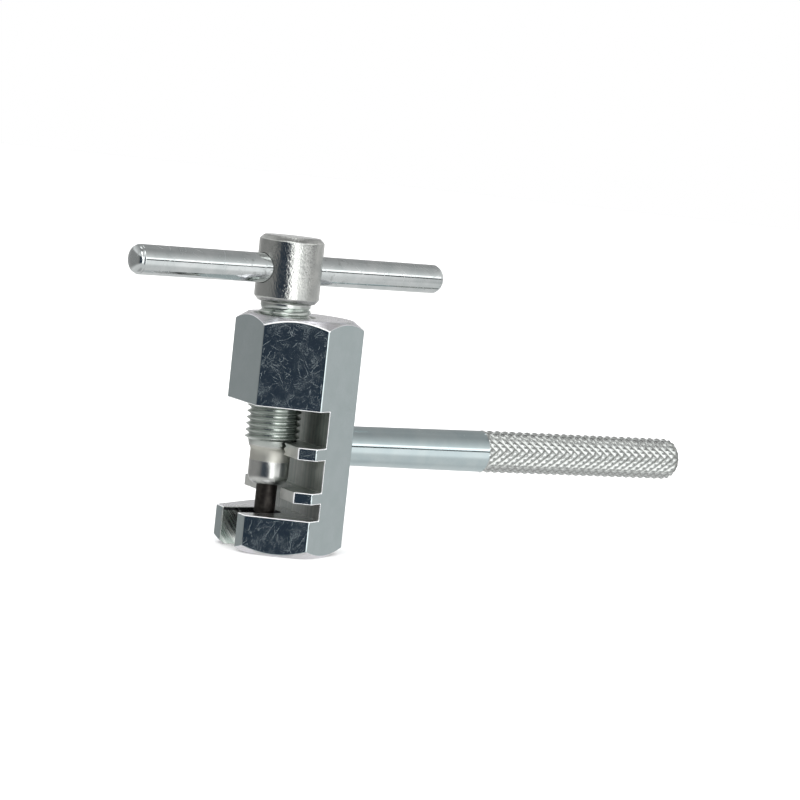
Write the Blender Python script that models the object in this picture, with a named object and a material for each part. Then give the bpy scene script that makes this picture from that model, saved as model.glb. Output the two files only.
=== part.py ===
"""Bicycle chain tool: a hexagonal steel body with chain prongs and a slotted anvil, a threaded spindle
with a cross bar and a drive pin, and a knurled handle.

Metres, +Z up. The origin is the centre of the drive pin's end face, level with the anvil's top face.
+Z runs up the spindle's axis, and the handle stands out along +X, away from the open side.
"""

from math import cos, pi, radians, sin, sqrt, tan

import bmesh
import bpy
from mathutils import Matrix

MM = 0.001

# Body: a hexagonal bar with two flats across X, and its corners on +Y and -Y.
ACROSS_FLATS = 19.0 * MM
BODY_LENGTH = 39.8 * MM
BODY_END_RADIUS = 9.0 * MM  # flat circle left at each end of the bar by the turned chamfer
BODY_CHAMFER_ANGLE = radians(35)
BODY_X = 3.1 * MM  # the bar's centre line, behind the spindle's axis
ANVIL_THICKNESS = 6.5 * MM

# The chain's recess: levels above the anvil's top face, and depths along X.
LOWER_PRONG = (2.8 * MM, 4.7 * MM)
UPPER_PRONG = (10.15 * MM, 12.2 * MM)
BLOCK_BOTTOM = 18.35 * MM
BACK_WALL_X = 5.45 * MM
PRONG_END_X = 0.4 * MM
ROLLER_POCKET_RADIUS = 4.25 * MM
ANVIL_SLOT_WIDTH = 5.7 * MM

# Spindle: nose, thread and head, all turned about Z. The body's bore has the same thread, with clearance.
THREAD_RADIUS = 4.6 * MM
THREAD_ROOT_RADIUS = 3.98 * MM
THREAD_PITCH = 25.4 / 24 * MM
THREAD_TURNS = 21
THREAD_BOTTOM = 11.42 * MM
THREAD_CLEARANCE = 0.2 * MM
BORE_MOUTH_RADIUS = 5.3 * MM
NECK_RADIUS = 4.25 * MM
NOSE_RADIUS = 3.45 * MM
NOSE_BOTTOM = 4.65 * MM
NOSE_END_RADIUS = 2.35 * MM
NOSE_ROUND_HEIGHT = 1.8 * MM
NOSE_FILLET_BOTTOM = 8.7 * MM
HEAD_RADIUS = 5.5 * MM
HEAD_BOTTOM = 35.45 * MM
HEAD_TOP = 46.6 * MM
HEAD_TOP_CHAMFER = (0.8 * MM, 0.75 * MM)  # inwards, and down
HEAD_BOTTOM_CHAMFER = (0.7 * MM, 0.8 * MM)

# Cross bar through the head.
BAR_RADIUS = 2.5 * MM
BAR_Z = 41.0 * MM
BAR_NEAR = -30.8 * MM
BAR_FAR = 31.65 * MM
BAR_DOME = 1.1 * MM
BAR_EDGE_RADIUS = 2.3 * MM
BAR_TURN = radians(7.3)

# Drive pin.
PIN_RADIUS = 1.775 * MM
PIN_CHAMFER = 0.15 * MM
PIN_TOP = 10.0 * MM

# Handle, turned about its own axis along +X.
HANDLE_Z = 11.55 * MM
HANDLE_NECK_RADIUS = 3.42 * MM
HANDLE_PLAIN_RADIUS = 3.66 * MM
KNURL_RADIUS = 3.75 * MM
KNURL_START_X = 41.1 * MM
HANDLE_END_X = 83.0 * MM
HANDLE_DOME = 2.4 * MM
SPIGOT_RADIUS = 2.7 * MM
SPIGOT_LENGTH = 6.0 * MM

FIT_GAP = 0.3 * MM  # between pieces that are fixed in each other
SOCKET_GAP = 0.15 * MM
ROUND_STEPS = 32
BAR_STEPS = 24
OVERCUT = 3.0 * MM

BODY_BOTTOM = -ANVIL_THICKNESS
BODY_TOP = BODY_BOTTOM + BODY_LENGTH
HANDLE_FACET_X = BODY_X + ACROSS_FLATS / 2
OPEN_FACET_X = BODY_X - ACROSS_FLATS / 2


def clear_scene():
    for obj in list(bpy.data.objects):
        bpy.data.objects.remove(obj, do_unlink=True)


def steel(name, colour, roughness):
    """A metallic Principled material."""
    material = bpy.data.materials.new(name)
    material.use_nodes = True
    shader = material.node_tree.nodes["Principled BSDF"]
    shader.inputs["Base Color"].default_value = (*colour, 1)
    shader.inputs["Metallic"].default_value = 1.0
    shader.inputs["Roughness"].default_value = roughness
    return material


def mesh_from(bm, name):
    bmesh.ops.recalc_face_normals(bm, faces=bm.faces)
    mesh = bpy.data.meshes.new(name)
    bm.to_mesh(mesh)
    bm.free()
    return mesh


def piece(name, mesh, material, location=(0, 0, 0), rotation=(0, 0, 0), parent=None):
    obj = bpy.data.objects.new(name, mesh)
    bpy.context.scene.collection.objects.link(obj)
    obj.parent = parent
    obj.location = location
    obj.rotation_euler = rotation
    mesh.materials.append(material)
    mesh.shade_smooth()
    mesh.set_sharp_from_angle(angle=radians(35))
    return obj


def axis_empty(name, location, parent=None):
    """An empty on a joint's axis, which carries the pieces that move with it."""
    obj = bpy.data.objects.new(name, None)
    bpy.context.scene.collection.objects.link(obj)
    obj.parent = parent
    obj.location = location
    obj.empty_display_size = 5 * MM
    return obj


def combine(target, mesh, operation):
    """Applies a helper solid to the target with a Boolean modifier."""
    helper = bpy.data.objects.new(f"{target.name}_{mesh.name}", mesh)
    bpy.context.scene.collection.objects.link(helper)
    helper.parent = target
    helper.hide_render = True
    helper.display_type = "WIRE"
    modifier = target.modifiers.new(mesh.name, "BOOLEAN")
    modifier.operation = operation
    modifier.solver = "EXACT"
    modifier.object = helper


def ring(bm, radius, z, steps):
    turn = 2 * pi / steps
    return [bm.verts.new((radius * cos(i * turn), radius * sin(i * turn), z)) for i in range(steps)]


def join_rings(bm, low, high):
    steps = len(low)
    for i in range(steps):
        j = (i + 1) % steps
        bm.faces.new((low[i], low[j], high[j], high[i]))


def turned(name, profile, steps=ROUND_STEPS):
    """A solid turned about Z. The profile lists (radius, z) from the bottom face to the top face."""
    bm = bmesh.new()
    rings = [ring(bm, radius, z, steps) for radius, z in profile]
    for low, high in zip(rings, rings[1:]):
        join_rings(bm, low, high)
    bm.faces.new(rings[0])
    bm.faces.new(rings[-1])
    return mesh_from(bm, name)


def extruded(name, outline, low, high, along):
    """A prism of an outline: (x, y) points for one along Z, (x, z) points for one along Y."""
    bm = bmesh.new()
    ends = []
    for level in (low, high):
        points = [(u, v, level) if along == "Z" else (u, level, v) for u, v in outline]
        ends.append([bm.verts.new(point) for point in points])
    join_rings(bm, *ends)
    bm.faces.new(ends[0])
    bm.faces.new(ends[1])
    return mesh_from(bm, name)


def rounded_end(radius, height, crown_radius, steps):
    """(radius, rise) points of a rounded end, from its rim inwards to a small flat crown."""
    angles = [pi / 2 * i / steps for i in range(steps + 1)]
    return [(crown_radius + (radius - crown_radius) * cos(a), height * sin(a)) for a in angles]


def hex_outline(across_flats, centre_x):
    corner = across_flats / sqrt(3)
    angles = [radians(30 + 60 * i) for i in range(6)]
    return [(centre_x + corner * cos(a), corner * sin(a)) for a in angles]


def chamfer_envelope():
    """The solid that turns the bar's two ends down to a cone about the bar's own centre line."""
    reach = ACROSS_FLATS
    rise = (reach - BODY_END_RADIUS) * tan(BODY_CHAMFER_ANGLE)
    profile = [
        (BODY_END_RADIUS, BODY_BOTTOM),
        (reach, BODY_BOTTOM + rise),
        (reach, BODY_TOP - rise),
        (BODY_END_RADIUS, BODY_TOP),
    ]
    mesh = turned("end_chamfers", profile, 96)
    mesh.transform(Matrix.Translation((BODY_X, 0, 0)))
    return mesh


def chain_recess():
    """The recess milled from the open side: a comb outline that leaves the two pairs of prongs."""
    outside = OPEN_FACET_X - OVERCUT
    outline = [(outside, 0.0), (BACK_WALL_X, 0.0)]
    for low, high in (LOWER_PRONG, UPPER_PRONG):
        outline += [(BACK_WALL_X, low), (PRONG_END_X, low), (PRONG_END_X, high), (BACK_WALL_X, high)]
    outline += [(BACK_WALL_X, BLOCK_BOTTOM), (outside, BLOCK_BOTTOM)]
    half_width = ACROSS_FLATS
    return extruded("chain_recess", outline, -half_width, half_width, "Y")


def anvil_slot():
    """The slot under the pin: open towards -X, with a round end about the spindle's axis."""
    radius = ANVIL_SLOT_WIDTH / 2
    outside = OPEN_FACET_X - OVERCUT
    steps = 16
    arc = [(radius * cos(a), radius * sin(a)) for a in (pi * (i / steps - 0.5) for i in range(steps + 1))]
    outline = [(outside, -radius), *arc, (outside, radius)]
    return extruded("anvil_slot", outline, BODY_BOTTOM - OVERCUT, OVERCUT / 2, "Z")


def tapped_bore():
    """The threaded bore through the block and the upper prongs, in mesh with the spindle's thread."""
    turns_below = 3
    turns_above = 2
    turns = turns_below + THREAD_TURNS + turns_above
    bm = bmesh.new()
    rows = thread_rows(bm, THREAD_BOTTOM - turns_below * THREAD_PITCH, turns, THREAD_CLEARANCE)
    root = THREAD_ROOT_RADIUS + THREAD_CLEARANCE
    low = ring(bm, root, THREAD_BOTTOM - (turns_below + 0.25) * THREAD_PITCH, ROUND_STEPS)
    high = ring(bm, root, THREAD_BOTTOM + (turns - turns_below + 1.25) * THREAD_PITCH, ROUND_STEPS)
    join_thread(bm, rows, low, high)
    bm.faces.new(low)
    bm.faces.new(high)
    return mesh_from(bm, "tapped_bore")


def bore_mouth():
    """The countersink at the top of the tapped bore."""
    depth = BORE_MOUTH_RADIUS - THREAD_ROOT_RADIUS
    profile = [(THREAD_ROOT_RADIUS, BODY_TOP - depth), (BORE_MOUTH_RADIUS + OVERCUT, BODY_TOP + OVERCUT)]
    return turned("bore_mouth", profile, 48)


def roller_pocket():
    """The plain bore between the lower prongs, where a chain's roller sits."""
    gap_middle = (LOWER_PRONG[1] + UPPER_PRONG[0]) / 2
    low_gap_middle = LOWER_PRONG[0] / 2
    profile = [(ROLLER_POCKET_RADIUS, low_gap_middle), (ROLLER_POCKET_RADIUS, gap_middle)]
    return turned("roller_pocket", profile, 48)


def handle_socket():
    radius = SPIGOT_RADIUS + FIT_GAP
    depth = SPIGOT_LENGTH + FIT_GAP
    mesh = turned("handle_socket", [(radius, -depth), (radius, OVERCUT)])
    mesh.transform(Matrix.Translation((HANDLE_FACET_X, 0, HANDLE_Z)) @ Matrix.Rotation(pi / 2, 4, "Y"))
    return mesh


def make_hex_body(material):
    outline = hex_outline(ACROSS_FLATS, BODY_X)
    body = piece("hex_body", extruded("hex_body", outline, BODY_BOTTOM, BODY_TOP, "Z"), material)
    combine(body, chamfer_envelope(), "INTERSECT")
    for helper in (chain_recess, anvil_slot, tapped_bore, bore_mouth, roller_pocket, handle_socket):
        combine(body, helper(), "DIFFERENCE")
    return body


def thread_rows(bm, bottom, turns, clearance=0.0):
    """Rows of vertices that climb as a right-hand helix, one on each root and one on each crest."""
    rows = []
    for k in range(2 * turns + 1):
        row = []
        for i in range(ROUND_STEPS):
            climbed = k / 2 + i / ROUND_STEPS
            runout = min(1.0, climbed, turns + 1 - climbed)
            crest = THREAD_ROOT_RADIUS + (THREAD_RADIUS - THREAD_ROOT_RADIUS) * runout
            radius = clearance + (crest if k % 2 else THREAD_ROOT_RADIUS)
            angle = 2 * pi * i / ROUND_STEPS
            z = bottom + climbed * THREAD_PITCH
            row.append(bm.verts.new((radius * cos(angle), radius * sin(angle), z)))
        rows.append(row)
    return rows


def join_thread(bm, rows, low_ring, high_ring):
    """Faces between the helical rows, and from them to a plain ring below and above.

    A row's last column meets the first column of the row one turn higher, two rows on.
    """
    last = ROUND_STEPS - 1
    top = len(rows) - 1
    for low, high in zip(rows, rows[1:]):
        for i in range(last):
            bm.faces.new((low[i], low[i + 1], high[i + 1], high[i]))
    for k in range(top - 2):
        bm.faces.new((rows[k][last], rows[k + 2][0], rows[k + 3][0], rows[k + 1][last]))
    for i in range(last):
        bm.faces.new((low_ring[i], low_ring[i + 1], rows[0][i + 1], rows[0][i]))
        bm.faces.new((rows[top][i], rows[top][i + 1], high_ring[i + 1], high_ring[i]))
    bm.faces.new((low_ring[last], low_ring[0], rows[0][0], rows[1][0], rows[2][0], rows[0][last]))
    up = (rows[top - 2][last], rows[top][0], high_ring[0], high_ring[last])
    bm.faces.new((*up, rows[top][last], rows[top - 1][last]))


def nose_profile():
    """The nose's round end, its plain length, and the long fillet that widens it to the thread's root."""
    rounded = rounded_end(NOSE_RADIUS, NOSE_ROUND_HEIGHT, NOSE_END_RADIUS, 4)
    base = NOSE_BOTTOM + NOSE_ROUND_HEIGHT
    low = [(radius, base - rise) for radius, rise in reversed(rounded)]
    fillet_height = THREAD_BOTTOM - THREAD_PITCH / 4 - NOSE_FILLET_BOTTOM
    widening = THREAD_ROOT_RADIUS - NOSE_RADIUS
    steps = 4
    shares = [i / steps for i in range(steps + 1)]
    fillet = [(NOSE_RADIUS + widening * t * t, NOSE_FILLET_BOTTOM + fillet_height * t) for t in shares]
    return [*low, *fillet]


def head_profile():
    top_in, top_down = HEAD_TOP_CHAMFER
    bottom_in, bottom_up = HEAD_BOTTOM_CHAMFER
    neck_bottom = THREAD_BOTTOM + (THREAD_TURNS + 1.1) * THREAD_PITCH
    return [
        (NECK_RADIUS, neck_bottom),
        (NECK_RADIUS, HEAD_BOTTOM),
        (HEAD_RADIUS - bottom_in, HEAD_BOTTOM),
        (HEAD_RADIUS, HEAD_BOTTOM + bottom_up),
        (HEAD_RADIUS, HEAD_TOP - top_down),
        (HEAD_RADIUS - top_in, HEAD_TOP),
    ]


def spindle_mesh():
    bm = bmesh.new()
    nose = [ring(bm, radius, z, ROUND_STEPS) for radius, z in nose_profile()]
    rows = thread_rows(bm, THREAD_BOTTOM, THREAD_TURNS)
    head = [ring(bm, radius, z, ROUND_STEPS) for radius, z in head_profile()]
    for rings in (nose, head):
        for low, high in zip(rings, rings[1:]):
            join_rings(bm, low, high)
    join_thread(bm, rows, nose[-1], head[0])
    bm.faces.new(nose[0])
    bm.faces.new(head[-1])
    return mesh_from(bm, "spindle_screw")


def pin_socket():
    radius = PIN_RADIUS + SOCKET_GAP
    return turned("pin_socket", [(radius, NOSE_BOTTOM - OVERCUT), (radius, PIN_TOP + FIT_GAP)], BAR_STEPS)


def bar_hole():
    radius = BAR_RADIUS + FIT_GAP
    reach = HEAD_RADIUS + OVERCUT
    mesh = turned("bar_hole", [(radius, -reach), (radius, reach)])
    turn = Matrix.Rotation(BAR_TURN, 4, "Z") @ Matrix.Rotation(pi / 2, 4, "Y")
    mesh.transform(Matrix.Translation((0, 0, BAR_Z)) @ turn)
    return mesh


def make_spindle(material, axis):
    spindle = piece("spindle_screw", spindle_mesh(), material, parent=axis)
    combine(spindle, pin_socket(), "DIFFERENCE")
    combine(spindle, bar_hole(), "DIFFERENCE")
    return spindle


def make_cross_bar(material, axis):
    """The cross bar, turned about its own length, with a shallow dome and a small edge at each end."""
    dome = rounded_end(BAR_EDGE_RADIUS, BAR_DOME, BAR_EDGE_RADIUS / 8, 5)
    near = [(radius, BAR_NEAR + BAR_DOME - rise) for radius, rise in reversed(dome)]
    far = [(radius, BAR_FAR - BAR_DOME + rise) for radius, rise in dome]
    edge = BAR_RADIUS - BAR_EDGE_RADIUS
    shank = [(BAR_RADIUS, BAR_NEAR + BAR_DOME + edge), (BAR_RADIUS, BAR_FAR - BAR_DOME - edge)]
    mesh = turned("t_bar", [*near, *shank, *far], BAR_STEPS)
    return piece("t_bar", mesh, material, (0, 0, BAR_Z), (0, pi / 2, BAR_TURN), axis)


def make_drive_pin(material, axis):
    profile = [
        (PIN_RADIUS - PIN_CHAMFER, 0.0),
        (PIN_RADIUS, PIN_CHAMFER),
        (PIN_RADIUS, PIN_TOP - PIN_CHAMFER),
        (PIN_RADIUS - PIN_CHAMFER, PIN_TOP),
    ]
    return piece("drive_pin", turned("drive_pin", profile, BAR_STEPS), material, parent=axis)


def make_handle(material):
    """The handle rod, turned about its own length: spigot, plain neck, knurled grip, round end."""
    knurl_start = KNURL_START_X - HANDLE_FACET_X
    end = HANDLE_END_X - HANDLE_FACET_X
    dome = rounded_end(KNURL_RADIUS, HANDLE_DOME, KNURL_RADIUS / 8, 6)
    profile = [
        (SPIGOT_RADIUS, -SPIGOT_LENGTH),
        (SPIGOT_RADIUS, FIT_GAP),
        (HANDLE_NECK_RADIUS, FIT_GAP),
        (HANDLE_PLAIN_RADIUS, knurl_start),
        (KNURL_RADIUS, knurl_start + FIT_GAP),
        *[(radius, end - HANDLE_DOME + rise) for radius, rise in dome],
    ]
    where = (HANDLE_FACET_X, 0, HANDLE_Z)
    return piece("handle", turned("handle", profile), material, where, (0, pi / 2, 0))


def main():
    clear_scene()
    make_hex_body(steel("body_zinc_steel", (0.62, 0.64, 0.66), 0.22))
    make_handle(steel("handle_zinc_steel", (0.66, 0.68, 0.70), 0.32))
    advance_axis = axis_empty("advance_axis", (0, 0, 0))
    turn_axis = axis_empty("turn_axis", (0, 0, 0), advance_axis)
    make_drive_pin(steel("black_oxide_steel", (0.03, 0.028, 0.026), 0.38), advance_axis)
    make_spindle(steel("spindle_zinc_steel", (0.60, 0.61, 0.60), 0.28), turn_axis)
    make_cross_bar(steel("bar_zinc_steel", (0.66, 0.68, 0.68), 0.24), turn_axis)


main()
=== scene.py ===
"""Bicycle chain tool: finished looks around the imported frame.

Meshes are built in millimetres in the frame's own axes, and scaled to metres when they are placed.
"""

from math import atan2, ceil, cos, hypot, pi, radians, sin, sqrt, tan

import bmesh
import bpy
from mathutils import Matrix, Vector, noise


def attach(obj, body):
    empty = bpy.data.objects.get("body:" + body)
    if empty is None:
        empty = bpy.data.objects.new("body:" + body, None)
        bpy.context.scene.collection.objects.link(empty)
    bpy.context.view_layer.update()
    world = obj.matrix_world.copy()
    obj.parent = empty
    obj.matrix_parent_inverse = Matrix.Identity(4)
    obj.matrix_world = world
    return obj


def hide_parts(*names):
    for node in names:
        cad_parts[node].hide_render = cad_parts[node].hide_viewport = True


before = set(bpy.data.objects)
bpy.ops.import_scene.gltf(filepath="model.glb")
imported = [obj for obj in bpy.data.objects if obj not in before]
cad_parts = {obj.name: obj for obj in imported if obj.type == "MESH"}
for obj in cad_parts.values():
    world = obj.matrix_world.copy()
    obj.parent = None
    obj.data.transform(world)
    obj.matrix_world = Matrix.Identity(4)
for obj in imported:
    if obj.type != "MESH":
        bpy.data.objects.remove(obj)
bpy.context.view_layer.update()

MM = 0.001

# Body, in millimetres. The anvil's top is at z = 0.
ACROSS_FLATS = 19.0
BODY_X = 3.1
BODY_BOTTOM = -6.5
BODY_TOP = 33.3
BODY_END_RADIUS = 9.0
BODY_CHAMFER_ANGLE = radians(35)
CORNER_BEVEL = 0.22
EDGE_BEVEL = 0.14
LOWER_PRONG = (2.8, 4.7)
UPPER_PRONG = (10.15, 12.2)
BLOCK_BOTTOM = 18.35
BACK_WALL_X = 5.45
PRONG_END_X = 0.4
POCKET_RADIUS = 4.25
POCKET_BOTTOM = 1.4
POCKET_TOP = 7.4
SLOT_WIDTH = 5.7
SLOT_CUTTER_TOP = 1.4
CUTTER_SPARE = 3.0
HANDLE_HOLE_CLEARANCE = 0.06
OPEN_FACET_X = BODY_X - ACROSS_FLATS / 2
HANDLE_FACET_X = BODY_X + ACROSS_FLATS / 2

# The body's material numbers, in the order of its material list.
FACETS, TURNED, MILLED, SLOT, ENDS, EDGES = range(6)

# Spindle.
THREAD_PITCH = 25.4 / 24
THREAD_RADIUS = 4.6
THREAD_ROOT_RADIUS = 3.98
THREAD_BOTTOM = 11.42
THREAD_TURNS = 21
THREAD_CLEARANCE = 0.2
THREAD_STEPS = 96
THREAD_START_RADIUS = 3.8
THREAD_START_Z = 11.0
THREAD_START_SLOPE = 1.5
RUNOUT_TOP = 34.45
RUNOUT_SLOPE = 0.35
BORE_THREAD_STEPS = 64
NOSE_RADIUS = 3.45
NOSE_BOTTOM = 4.65
NOSE_ROUNDING = 1.7
NOSE_CROWN = 2.3
NOSE_LIP = 0.1
BAND_DEPTH = 0.03
NECK_RADIUS = 4.25
HEAD_RADIUS = 5.5
HEAD_BOTTOM = 35.45
HEAD_TOP = 46.6
HEAD_BOTTOM_CHAMFER = (0.7, 0.8)
HEAD_TOP_CHAMFER = (0.8, 0.75)

# Cross bar, pin and handle.
BAR_RADIUS = 2.5
BAR_CLEARANCE = 0.08
BAR_Z = 41.0
BAR_NEAR = -30.8
BAR_FAR = 31.65
BAR_DOME = 1.1
BAR_RIM = 0.2
BAR_TURN = radians(7.3)
PIN_RADIUS = 1.775
PIN_CLEARANCE = 0.12
PIN_HOLE_TOP = 10.15
PIN_TOP = 10.0
PIN_END = -0.3
PIN_RIM = 0.15
HANDLE_Z = 11.55
HANDLE_NECK_RADIUS = 3.42
HANDLE_PLAIN_RADIUS = 3.66
HANDLE_PLAIN_START = 0.3
KNURL_RADIUS = 3.75
KNURL_START_X = 41.1
HANDLE_END_X = 83.0
HANDLE_DOME = 2.4
KNURL_PITCH = 1.565
KNURL_COUNT = 15
KNURL_DEPTH = 0.31
KNURL_STEPS = 10
GROOVE_HALF_WIDTH = 0.44
GROOVE_SHARE = 0.78
GROOVE_LEAD = 0.22
BURR_HEIGHT = 0.07
BURR_PLACE = 0.25
BURR_REACH = 0.3
RUB_DEPTH = 0.03

# Surroundings: the directions from the tool to what it mirrors.
SOFTBOX_DIRECTION = (0.156, 0.27, 0.95)  # overhead, a little behind
LAMP_DIRECTION = (-0.33, -0.89, 0.31)  # a lamp in front, above the horizon
RIM_DIRECTION = (-0.327, -0.566, 0.757)  # a small lamp high in front, which draws the upper edges
SHADE_DIRECTION = (0.37, 0.67, 0.64)  # a darker patch high up behind
WINDOW_DIRECTION = (0.604, -0.773, 0.19)  # low on the right, with a bright pane above a dark sill

# Studio and camera, in metres, with the lens and its sensor in millimetres.
SURROUND_STRENGTH = 2.0
OVERHEAD_ANGLE = radians(120)
OVERHEAD_ENERGY = 3.2
FLOOR_RADIUS = 3.0
BACKDROP_RADIUS = 3.2
SENSOR = 36.0
LENS = 118.89828
CAMERA_PLACE = (-0.20145, -0.3950, 0.06594)
CAMERA_RIGHT = (0.86879, -0.48322, 0.10818)
CAMERA_UP = (-0.04484, 0.14080, 0.98902)
CAMERA_BACK = (-0.49315, -0.86410, 0.10066)


# ---------------------------------------------------------------- mesh tools


def ring(bm, radius, z, steps):
    turn = 2 * pi / steps
    return [bm.verts.new((radius * cos(i * turn), radius * sin(i * turn), z)) for i in range(steps)]


def join_rings(bm, low, high):
    steps = len(low)
    for i in range(steps):
        j = (i + 1) % steps
        bm.faces.new((low[i], low[j], high[j], high[i]))


def finished(bm, name):
    bmesh.ops.recalc_face_normals(bm, faces=bm.faces)
    mesh = bpy.data.meshes.new(name)
    bm.to_mesh(mesh)
    bm.free()
    return mesh


def turned(name, profile, steps):
    """A solid turned about Z. The profile lists (radius, z) from one end to the other."""
    bm = bmesh.new()
    rings = [ring(bm, radius, z, steps) for radius, z in profile]
    for low, high in zip(rings, rings[1:]):
        join_rings(bm, low, high)
    bm.faces.new(rings[0])
    bm.faces.new(rings[-1])
    return finished(bm, name)


def extruded(name, outline, low, high, along):
    """A prism from low to high along Y or Z. The outline lists (x, z) or (x, y)."""
    bm = bmesh.new()
    ends = []
    for level in (low, high):
        points = [(u, v, level) if along == "Z" else (u, level, v) for u, v in outline]
        ends.append([bm.verts.new(point) for point in points])
    join_rings(bm, *ends)
    bm.faces.new(ends[0])
    bm.faces.new(ends[1])
    return finished(bm, name)


def softened(profile, radius, steps=4, slightest=radians(12)):
    """The profile with each inner corner rounded over the given distance, unless its bend is slight."""
    points = [profile[0]]
    for before, corner, after in zip(profile, profile[1:], profile[2:]):
        a, b, c = Vector(before), Vector(corner), Vector(after)
        reach = min(radius, (a - b).length * 0.45, (c - b).length * 0.45)
        if (b - a).angle(c - b, 0.0) < slightest:
            points.append(corner)
            continue
        start = b + (a - b).normalized() * reach
        end = b + (c - b).normalized() * reach
        for i in range(steps + 1):
            t = i / steps
            point = start * (1 - t) ** 2 + b * 2 * t * (1 - t) + end * t ** 2
            points.append((point.x, point.y))
    points.append(profile[-1])
    return points


def rounded_end(radius, height, crown, steps):
    """A quarter of an ellipse, as (radius, rise), from the full radius up to the radius of a flat crown."""
    angles = [pi / 2 * i / steps for i in range(steps + 1)]
    return [(crown + (radius - crown) * cos(a), height * sin(a)) for a in angles]


def new_object(name, data):
    """A new object in the scene for a mesh, light or camera."""
    obj = bpy.data.objects.new(name, data)
    bpy.context.scene.collection.objects.link(obj)
    return obj


def cut(obj, mesh, operation="DIFFERENCE"):
    modifier = obj.modifiers.new(mesh.name, "BOOLEAN")
    modifier.operation = operation
    modifier.solver = "EXACT"
    modifier.object = new_object(f"{obj.name}_{mesh.name}", mesh)


def bevel(obj, name, width, segments, angle):
    modifier = obj.modifiers.new(name, "BEVEL")
    modifier.width = width
    modifier.segments = segments
    modifier.limit_method = "ANGLE"
    modifier.angle_limit = radians(angle)
    return modifier


def apply_modifiers(obj):
    """Bakes the object's modifiers into its mesh and removes their helper objects."""
    evaluated = obj.evaluated_get(bpy.context.evaluated_depsgraph_get())
    mesh = bpy.data.meshes.new_from_object(evaluated)
    helpers = [m.object for m in obj.modifiers if m.type == "BOOLEAN"]
    obj.modifiers.clear()
    obj.data = mesh
    for helper in helpers:
        bpy.data.objects.remove(helper)


def write_surface(mesh, place):
    """Stores a coordinate in millimetres that lies in the surface, at each face corner.

    The materials read it as the attribute "surface" for patterns that follow the surface.
    """
    attribute = mesh.attributes.new("surface", "FLOAT_VECTOR", "CORNER")
    for face in mesh.polygons:
        for loop in face.loop_indices:
            point = mesh.vertices[mesh.loops[loop].vertex_index].co
            attribute.data[loop].vector = place(face, point)


def around(axis_radius):
    """Surface coordinates of a turned piece: distance round it, and distance along it.

    Its flat ends have plain coordinates at a level of their own.
    """
    end_level = 20.0

    def place(face, point):
        if abs(face.normal.z) > 0.95:
            return point.x, point.y, end_level
        angle = atan2(point.y, point.x)
        middle = atan2(face.center.y, face.center.x)
        if angle - middle > pi:
            angle -= 2 * pi
        if middle - angle > pi:
            angle += 2 * pi
        return angle * axis_radius, point.z, 0.0
    return place


def place_piece(obj, body, node, materials, smooth, matrix=None):
    """Scales the mesh to metres, gives it materials and normals, and ties it to its CAD node."""
    mesh = obj.data
    if matrix:
        mesh.transform(matrix)
    mesh.transform(Matrix.Scale(MM, 4))
    indices = [face.material_index for face in mesh.polygons]
    mesh.materials.clear()
    for material in materials:
        mesh.materials.append(material)
    for face, index in zip(mesh.polygons, indices):
        face.material_index = index
    mesh.shade_smooth()
    mesh.set_sharp_from_angle(angle=radians(smooth))
    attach(obj, body)
    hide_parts(node)


def thread(bm, sections, bottom, turns, limit, low, high):
    """A right-hand helical thread between two plain rings of the same step count.

    sections lists (share of a pitch, radius) for one turn of the thread's profile. limit(z) is the
    largest radius allowed at a height, which runs the thread out at its ends.
    """
    steps = len(low)
    last = turns * steps

    def vertex(t, share, radius):
        z = bottom + (t / steps + share) * THREAD_PITCH
        r = min(radius, limit(z))
        angle = 2 * pi * t / steps
        return bm.verts.new((r * cos(angle), r * sin(angle), z))

    rows = [[vertex(t, *sections[0]) for t in range(last + steps + 1)]]
    rows += [[vertex(t, *section) for t in range(last + 1)] for section in sections[1:]]

    def column(t):
        return [row[t] for row in rows] + [rows[0][t + steps]]

    for t in range(last):
        left, right = column(t), column(t + 1)
        for j in range(len(rows)):
            bm.faces.new((left[j], right[j], right[j + 1], left[j + 1]))
    base = rows[0]
    for i in range(steps - 1):
        bm.faces.new((low[i], low[i + 1], base[i + 1], base[i]))
    bm.faces.new((low[-1], low[0], *column(0), base[steps - 1]))
    for i in range(1, steps - 1):
        bm.faces.new((base[last + i], base[last + i + 1], high[i + 1], high[i]))
    bm.faces.new((base[last + steps - 1], base[last + steps], high[0], high[steps - 1]))
    bm.faces.new((base[last], base[last + 1], high[1], high[0], *reversed(column(last)[1:])))


def thread_sections(crest, root):
    """One pitch of the spindle's thread, from root to root, with both rounded to a small flat."""
    middle = root + (crest - root) * 0.5
    return [
        (0.0, root), (0.07, root + 0.015), (0.14, root + 0.1), (0.27, middle),
        (0.37, crest - 0.13), (0.43, crest - 0.03), (0.48, crest),
        (0.52, crest), (0.57, crest - 0.03), (0.63, crest - 0.13),
        (0.73, middle), (0.86, root + 0.1), (0.93, root + 0.015),
    ]


# ---------------------------------------------------------------- node tools


def node(tree, kind, inputs=None, **settings):
    """A new shader node. Inputs are values or output sockets, by name or number."""
    made = tree.nodes.new("ShaderNode" + kind)
    for name, value in settings.items():
        setattr(made, name, value)
    for key, value in (inputs or {}).items():
        socket = made.inputs[key]
        if isinstance(value, bpy.types.NodeSocket):
            tree.links.new(value, socket)
        else:
            socket.default_value = value
    return made


def calc(tree, operation, *values):
    return node(tree, "Math", dict(enumerate(values)), operation=operation).outputs[0]


def times(tree, a, b):
    return calc(tree, "MULTIPLY", a, b)


def plus(tree, a, b):
    return calc(tree, "ADD", a, b)


def length_of(tree, a, b):
    """The length of the vector (a, b)."""
    return calc(tree, "SQRT", plus(tree, calc(tree, "POWER", a, 2.0), calc(tree, "POWER", b, 2.0)))


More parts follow.
